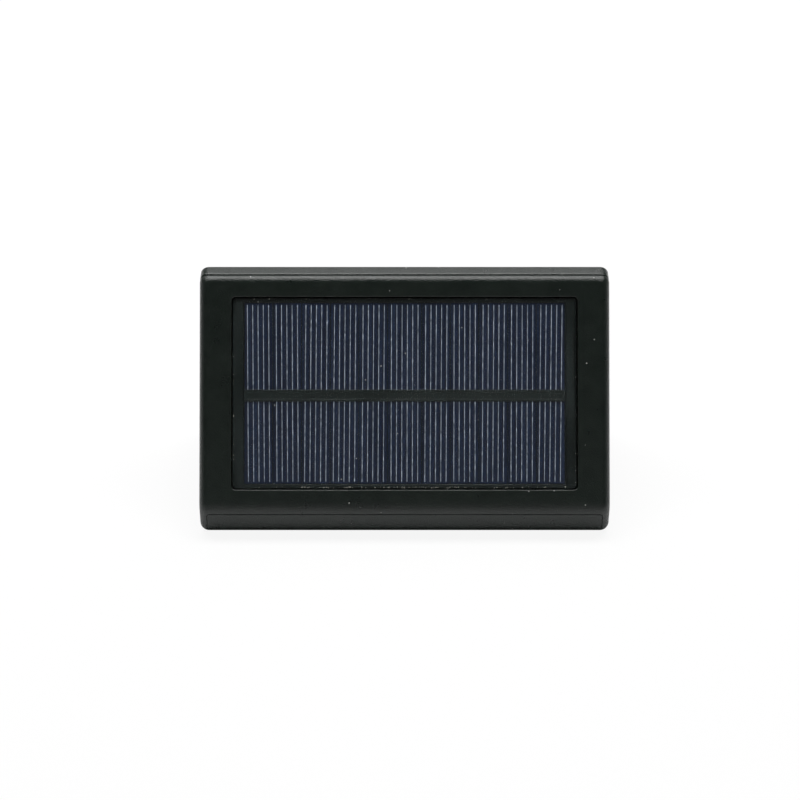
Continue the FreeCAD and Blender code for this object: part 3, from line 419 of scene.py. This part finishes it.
def make_dust():
    group, start, end = new_group(
        "pale_dust",
        [
            ("Clean", "NodeSocketColor", (0.01, 0.01, 0.01, 1)),
            ("Dust", "NodeSocketColor", (0.5, 0.5, 0.48, 1)),
            ("Specks Per Metre", "NodeSocketFloat", 420.0),
            ("Amount", "NodeSocketFloat", 0.1),
            ("Speck Radius", "NodeSocketFloat", 0.09),
        ],
        [("Color", "NodeSocketColor"), ("Mask", "NodeSocketFloat")],
    )
    place = group.nodes.new("ShaderNodeTexCoord").outputs["Object"]
    cells = group.nodes.new("ShaderNodeTexVoronoi")
    group.links.new(place, cells.inputs["Vector"])
    group.links.new(start.outputs["Specks Per Metre"], cells.inputs["Scale"])
    split = group.nodes.new("ShaderNodeSeparateColor")
    group.links.new(cells.outputs["Color"], split.inputs["Color"])
    chosen = add_math(group, "LESS_THAN", split.outputs["Red"], start.outputs["Amount"])
    size = add_math(group, "MULTIPLY", split.outputs["Green"], start.outputs["Speck Radius"])
    near = add_math(group, "LESS_THAN", cells.outputs["Distance"], size)
    mask = add_math(group, "MULTIPLY", chosen, near)
    mix = group.nodes.new("ShaderNodeMix")
    mix.data_type = "RGBA"
    group.links.new(mask, mix.inputs["Factor"])
    group.links.new(start.outputs["Clean"], mix.inputs["A"])
    group.links.new(start.outputs["Dust"], mix.inputs["B"])
    group.links.new(mix.outputs["Result"], end.inputs["Color"])
    group.links.new(mask, end.inputs["Mask"])
    return group


GRAIN = make_grain()
BLOTCHES = make_blotches()
DUST = make_dust()
print("groups:", GRAIN.name, BLOTCHES.name, DUST.name)

# %% [markdown]
# ## Materials
# Each finish is one material with one Principled shader. The colour comes through the blotches and then the
# dust; the grain drives a Bump node. A Bevel node rounds the light across hard moulded edges by a fraction
# of a millimetre, as a real moulding's edges are never knife sharp. Colours are linear, so the black of the
# case is written as under two hundredths.


# %% A moulded finish, with its values as arguments
def use_group(material, group, **values):
    """Places a node group in a material and fills in its sockets."""
    node = material.node_tree.nodes.new("ShaderNodeGroup")
    node.node_tree = group
    for label, value in values.items():
        node.inputs[label.replace("_", " ").title()].default_value = value
    return node


def new_material(name):
    material = bpy.data.materials.new(name)
    material.use_nodes = True
    return material, material.node_tree, material.node_tree.nodes["Principled BSDF"]


def add_blotches(material, dark, light, rough, size):
    """The blotches drive the roughness; their colour is given back, to be linked or dusted."""
    tones = {"dark": (*dark, 1), "light": (*light, 1)}
    node = use_group(material, BLOTCHES, size=size, rough_low=rough[0], rough_high=rough[1], **tones)
    shader = material.node_tree.nodes["Principled BSDF"]
    material.node_tree.links.new(node.outputs["Roughness"], shader.inputs["Roughness"])
    return node.outputs["Color"]


def moulded(name, dark, light, rough, grain=0.08, grain_depth=0.1, dust=0.0, edge=0.25, size=60.0):
    """Plastic, rubber or painted finish with blotches, grain, soft edges and a little dust."""
    material, tree, shader = new_material(name)
    colour = add_blotches(material, dark, light, rough, size)
    dusty = use_group(material, DUST, amount=dust)
    tree.links.new(colour, dusty.inputs["Clean"])
    tree.links.new(dusty.outputs["Color"], shader.inputs["Base Color"])
    grains = use_group(material, GRAIN)
    bump = add_node(tree, "ShaderNodeBump", strength=grain, distance=grain_depth * MM)
    tree.links.new(grains.outputs["Height"], bump.inputs["Height"])
    soft_edge = add_node(tree, "ShaderNodeBevel", samples=6, radius=edge * MM)
    tree.links.new(soft_edge.outputs["Normal"], bump.inputs["Normal"])
    tree.links.new(bump.outputs["Normal"], shader.inputs["Normal"])
    return material


FINISHES = {
    "black_plastic": moulded(
        "black_plastic",
        (0.0036, 0.0083, 0.0060),
        (0.0072, 0.0130, 0.0096),
        (0.27, 0.34),
        grain=0.8,
        grain_depth=0.15,
        dust=0.3,
        edge=0.3,
        size=220.0,
    ),
    "seal_rubber": moulded("seal_rubber", (0.30, 0.30, 0.29), (0.38, 0.38, 0.37), (0.55, 0.7)),
    "boot_rubber": moulded("boot_rubber", (0.28, 0.28, 0.27), (0.36, 0.36, 0.35), (0.55, 0.7)),
    "white_plastic": moulded("white_plastic", (0.78, 0.78, 0.76), (0.86, 0.86, 0.84), (0.3, 0.4)),
    "lamp_board_white": moulded("lamp_board_white", (0.74, 0.74, 0.72), (0.82, 0.82, 0.80), (0.25, 0.35)),
    "lamp_chip": moulded("lamp_chip", (0.80, 0.62, 0.16), (0.88, 0.72, 0.24), (0.3, 0.45)),
    "foam_tape": moulded("foam_tape", (0.03, 0.03, 0.03), (0.06, 0.06, 0.06), (0.8, 0.95)),
    "black_tape": moulded("black_tape", (0.002, 0.007, 0.006), (0.003, 0.009, 0.008), (0.35, 0.5), dust=0.1),
    "battery_wrap": moulded("battery_wrap", (0.05, 0.16, 0.07), (0.08, 0.20, 0.10), (0.2, 0.3)),
    "inner_plastic": moulded("inner_plastic", (0.07, 0.07, 0.07), (0.10, 0.10, 0.10), (0.5, 0.6)),
    "circuit_board": moulded("circuit_board", (0.01, 0.12, 0.04), (0.02, 0.17, 0.06), (0.25, 0.35)),
    "chip_black": moulded("chip_black", (0.015, 0.015, 0.015), (0.025, 0.025, 0.025), (0.4, 0.5)),
    "switch_body": moulded("switch_body", (0.03, 0.035, 0.06), (0.05, 0.055, 0.08), (0.4, 0.5)),
    "button_plastic": moulded("button_plastic", (0.022, 0.022, 0.022), (0.034, 0.034, 0.034), (0.55, 0.7)),
    "lead_red": moulded("lead_red", (0.40, 0.015, 0.015), (0.50, 0.03, 0.03), (0.35, 0.45)),
    "lead_black": moulded("lead_black", (0.015, 0.015, 0.015), (0.025, 0.025, 0.025), (0.35, 0.45)),
}
print("moulded finishes:", len(FINISHES))


# %% [markdown]
# ## Metals
# Screws, springs and contacts are plated. The same blotches give them faint tarnish, and metallic is set
# straight on the shader.


# %% Metal finishes
def plated(name, dark, light, rough, size=400.0):
    material, tree, shader = new_material(name)
    shader.inputs["Metallic"].default_value = 1.0
    colour = add_blotches(material, dark, light, rough, size)
    tree.links.new(colour, shader.inputs["Base Color"])
    return material


FINISHES["screw_steel"] = plated("screw_steel", (0.40, 0.40, 0.41), (0.58, 0.58, 0.59), (0.28, 0.42))
FINISHES["spring_steel"] = plated("spring_steel", (0.60, 0.60, 0.61), (0.72, 0.72, 0.73), (0.2, 0.3))
FINISHES["can_metal"] = plated("can_metal", (0.66, 0.66, 0.67), (0.76, 0.76, 0.77), (0.25, 0.35))
FINISHES["coil_copper"] = plated("coil_copper", (0.45, 0.17, 0.08), (0.62, 0.28, 0.13), (0.3, 0.4))
print("metal finishes ready")


# %% [markdown]
# ## The solar panel
# The cells are navy silicon with faint streaks along each strip. The lines on them are dull silver and
# uneven in tone, as printed paste is. The board round them is dark, and the clear film over all is
# modelled like glass. It throws no shadow, so that the cells beneath are lit.


# %% Cells, lines, board and film
ALONG_STRIPS = (1.0, 0.02, 0.02)  # draws the noise out along the strips, so that it turns into streaks


def streaked_silicon():
    material, tree, shader = new_material("silicon")
    place = tree.nodes.new("ShaderNodeTexCoord").outputs["Object"]
    stretch = add_node(tree, "ShaderNodeMapping")
    stretch.inputs["Scale"].default_value = ALONG_STRIPS
    tree.links.new(place, stretch.inputs["Vector"])
    streak = add_node(tree, "ShaderNodeTexNoise", scale=900.0, detail=3.0, roughness=0.7)
    tree.links.new(stretch.outputs["Vector"], streak.inputs["Vector"])
    tones = [(0.3, (0.001, 0.005, 0.020)), (0.7, (0.004, 0.014, 0.042))]
    colour = add_ramp(tree, streak.outputs["Fac"], tones)
    dusty = use_group(material, DUST, amount=0.3)
    tree.links.new(colour, dusty.inputs["Clean"])
    tree.links.new(dusty.outputs["Color"], shader.inputs["Base Color"])
    rough = add_ramp(tree, streak.outputs["Fac"], [(0.3, 0.30), (0.7, 0.42)])
    tree.links.new(rough, shader.inputs["Roughness"])
    return material


def clear_film():
    material, tree, shader = new_material("clear_film")
    shader.inputs["Transmission Weight"].default_value = 1.0
    shader.inputs["IOR"].default_value = 1.45
    colour = add_blotches(material, (0.97, 0.98, 0.98), (1.0, 1.0, 1.0), (0.02, 0.06), size=30.0)
    tree.links.new(colour, shader.inputs["Base Color"])
    return material


FINISHES["silicon"] = streaked_silicon()
FINISHES["tinned_metal"] = plated(
    "tinned_metal", (0.20, 0.25, 0.31), (0.72, 0.80, 0.92), (0.45, 0.6), size=900.0
)
FINISHES["panel_backing"] = moulded(
    "panel_backing", (0.002, 0.006, 0.005), (0.003, 0.009, 0.008), (0.3, 0.45), grain=0.03, dust=0.3
)
FINISHES["clear_film"] = clear_film()
# A dark navy painted onto the bars beside the conductor lines, as their painted shadow.
FINISHES["shadow_paint_navy"] = moulded("shadow_paint_navy", (0.002, 0.004, 0.010), (0.005, 0.008, 0.018), (0.35, 0.5))
FINISHES["pale_dust"] = moulded("pale_dust", (0.36, 0.35, 0.30), (0.80, 0.78, 0.70), (0.8, 0.95), size=300.0)
frame["nodes"]["panel_film"].visible_shadow = False
print("panel finishes ready")


# %% [markdown]
# ## The lamp's lens
# The lens underneath is frosted: light passes but nothing shows sharply. Rough transmission with a white
# tint does that, and a fine grain keeps its surface from looking like clear glass.


# %% Frosted lens
def frosted():
    material, tree, shader = new_material("frosted_plastic")
    shader.inputs["Transmission Weight"].default_value = 0.55
    shader.inputs["IOR"].default_value = 1.49
    colour = add_blotches(material, (0.80, 0.81, 0.79), (0.88, 0.88, 0.86), (0.45, 0.6), size=50.0)
    tree.links.new(colour, shader.inputs["Base Color"])
    grains = use_group(material, GRAIN, grain_size=2200.0)
    bump = add_node(tree, "ShaderNodeBump", strength=0.25, distance=0.1 * MM)
    tree.links.new(grains.outputs["Height"], bump.inputs["Height"])
    tree.links.new(bump.outputs["Normal"], shader.inputs["Normal"])
    return material


FINISHES["frosted_plastic"] = frosted()
print("lens finish ready")

# %% [markdown]
# ## Finishes on their pieces
# The record names one material slot for each piece, so a loop can do nearly all of it. The pieces made in
# this script are not in the record, and each is given its finish by name.


# %% Put each finish on its pieces
def paint(piece, material):
    if not piece.material_slots:
        piece.data.materials.append(material)
    for slot in piece.material_slots:
        slot.material = material


for subpart in frame["record"]["subparts"]:
    paint(frame["nodes"][subpart["node"]], FINISHES[subpart["material_slot"]])
paint(cell_lines, FINISHES["tinned_metal"])
# The stripes beside the lines are painted shadow, in a dark navy.
paint(painted_shadow_bars, FINISHES["shadow_paint_navy"])
paint(seam_dust, FINISHES["pale_dust"])
paint(soft_boot, FINISHES["boot_rubber"])

# %% [markdown]
# ## Floor, background and light
# The light stands on a plain white floor. The floor shows as white to the camera, also through clear
# surfaces, mixed with its own shading so that the shadow stays. Rays that have already bounced off a piece
# see the plain floor, so the white doesn't wash out the film and the cells.

# %% Floor
base = cad_box[0][2]
FLOOR_RADIUS = 2.5
FLOOR_GAP = 0.05 * MM
FLOOR_GLOW = 0.9  # share of plain white in the floor as the camera sees it
floor_mesh = bmesh.new()
bmesh.ops.create_circle(floor_mesh, cap_ends=True, segments=64, radius=FLOOR_RADIUS)
bmesh.ops.translate(floor_mesh, verts=floor_mesh.verts, vec=(0, 0, base - FLOOR_GAP))
floor_data = bpy.data.meshes.new("floor")
floor_mesh.to_mesh(floor_data)
floor_mesh.free()
floor = bpy.data.objects.new("floor", floor_data)
bpy.context.scene.collection.objects.link(floor)


def seen_directly(tree):
    """One where a ray comes straight from the camera, or from it through something clear."""
    path = tree.nodes.new("ShaderNodeLightPath")
    seen = add_math(tree, "MAXIMUM", path.outputs["Is Camera Ray"], path.outputs["Is Transmission Ray"])
    bounces = add_math(tree, "ADD", path.outputs["Diffuse Depth"], path.outputs["Glossy Depth"])
    unscattered = add_math(tree, "LESS_THAN", bounces, 1.0)
    return add_math(tree, "MULTIPLY", seen, unscattered)


floor_material = bpy.data.materials.new("white_floor")
floor_material.use_nodes = True
tree = floor_material.node_tree
shader = tree.nodes["Principled BSDF"]
shader.inputs["Base Color"].default_value = (0.92, 0.92, 0.92, 1)
shader.inputs["Roughness"].default_value = 0.9
shader.inputs["Specular IOR Level"].default_value = 0.0
glow = add_node(tree, "ShaderNodeEmission", color=(1, 1, 1, 1), strength=1.0)
share = add_math(tree, "MULTIPLY", seen_directly(tree), FLOOR_GLOW)
blend = tree.nodes.new("ShaderNodeMixShader")
tree.links.new(share, blend.inputs["Fac"])
tree.links.new(shader.outputs["BSDF"], blend.inputs[1])
tree.links.new(glow.outputs["Emission"], blend.inputs[2])
tree.links.new(blend.outputs["Shader"], tree.nodes["Material Output"].inputs["Surface"])
paint(floor, floor_material)
print("floor at", round(base / MM, 2), "mm")

# %% [markdown]
# ## Background
# The camera sees pure white behind the light, also through clear pieces. Every other ray sees a dim grey
# room, because a white one would flood the black plastic with grey.

# %% World
ROOM_GREY = 0.05
world = bpy.data.worlds.new("studio")
bpy.context.scene.world = world
world.use_nodes = True
tree = world.node_tree
room = tree.nodes["Background"]
room.inputs["Color"].default_value = (ROOM_GREY, ROOM_GREY, ROOM_GREY, 1)
white = add_node(tree, "ShaderNodeBackground", color=(1, 1, 1, 1), strength=1.0)
blend = tree.nodes.new("ShaderNodeMixShader")
tree.links.new(seen_directly(tree), blend.inputs["Fac"])
tree.links.new(room.outputs["Background"], blend.inputs[1])
tree.links.new(white.outputs["Background"], blend.inputs[2])
tree.links.new(blend.outputs["Shader"], tree.nodes["World Output"].inputs["Surface"])
print("world ready")

# %% [markdown]
# ## Soft lamps
# One narrow lamp above draws a bright line along each rounded edge of the top. One behind gives the top its
# pale sheen, one in front lifts the lower part of the face, and a dim one on each side keeps the ends from
# going black. Places and sizes are in metres, and the last value is the brightness of the lamp's face.


# %% Lamps
def soft_lamp(name, place, width, depth, radiance):
    """A rectangular lamp aimed at the light's middle; radiance is how bright its face is."""
    data = bpy.data.lights.new(name, "AREA")
    data.shape = "RECTANGLE"
    data.size = width
    data.size_y = depth
    data.energy = radiance * math.pi * width * depth
    lamp = bpy.data.objects.new(name, data)
    bpy.context.scene.collection.objects.link(lamp)
    lamp.location = place
    lamp.rotation_euler = (-Vector(place)).to_track_quat("-Z", "Y").to_euler()
    return lamp


soft_lamp("overhead", (0, 0.35, 1.0), 1.3, 0.3, 12.0)
soft_lamp("behind", (0, 0.95, 0.75), 1.2, 0.55, 1.9)
soft_lamp("front", (0, -0.9, 0.35), 1.2, 0.35, 0.48)
soft_lamp("left", (-1.1, -0.1, 0.35), 0.5, 0.8, 0.3)
soft_lamp("right", (1.1, -0.1, 0.35), 0.5, 0.8, 0.3)
print("lamps ready")

# %% [markdown]
# ## Camera
# The photo looks square on to the solar face from some way off. The distance sets the perspective, and the
# lens sets how many pixels a millimetre takes.

# %% Camera
CAMERA_ELEVATION = math.radians(38.5)
CAMERA_DISTANCE = 0.65
PIXELS_PER_MM = 3.425
IMAGE_PIXELS = 800
SENSOR_WIDTH = 36.0
AIM_OFFSET = Vector((-1.33, -1.95)) * MM  # moves the light to its place in the photo
toward_camera = Vector((0, -math.cos(CAMERA_ELEVATION), math.sin(CAMERA_ELEVATION)))
view_up = Vector((0, math.sin(CAMERA_ELEVATION), math.cos(CAMERA_ELEVATION)))
aim = cells_middle.copy()
aim.x = 0
camera_data = bpy.data.cameras.new("camera")
camera_data.sensor_width = SENSOR_WIDTH
camera_data.lens = SENSOR_WIDTH * CAMERA_DISTANCE / (IMAGE_PIXELS / PIXELS_PER_MM * MM)
camera = bpy.data.objects.new("camera", camera_data)
bpy.context.scene.collection.objects.link(camera)
sideways = ACROSS * AIM_OFFSET.x + view_up * AIM_OFFSET.y
camera.location = aim + toward_camera * CAMERA_DISTANCE + sideways
camera.rotation_euler = toward_camera.to_track_quat("Z", "Y").to_euler()
bpy.context.scene.camera = camera
bpy.context.scene.view_settings.view_transform = "Standard"
print("lens", round(camera_data.lens, 1), "mm")
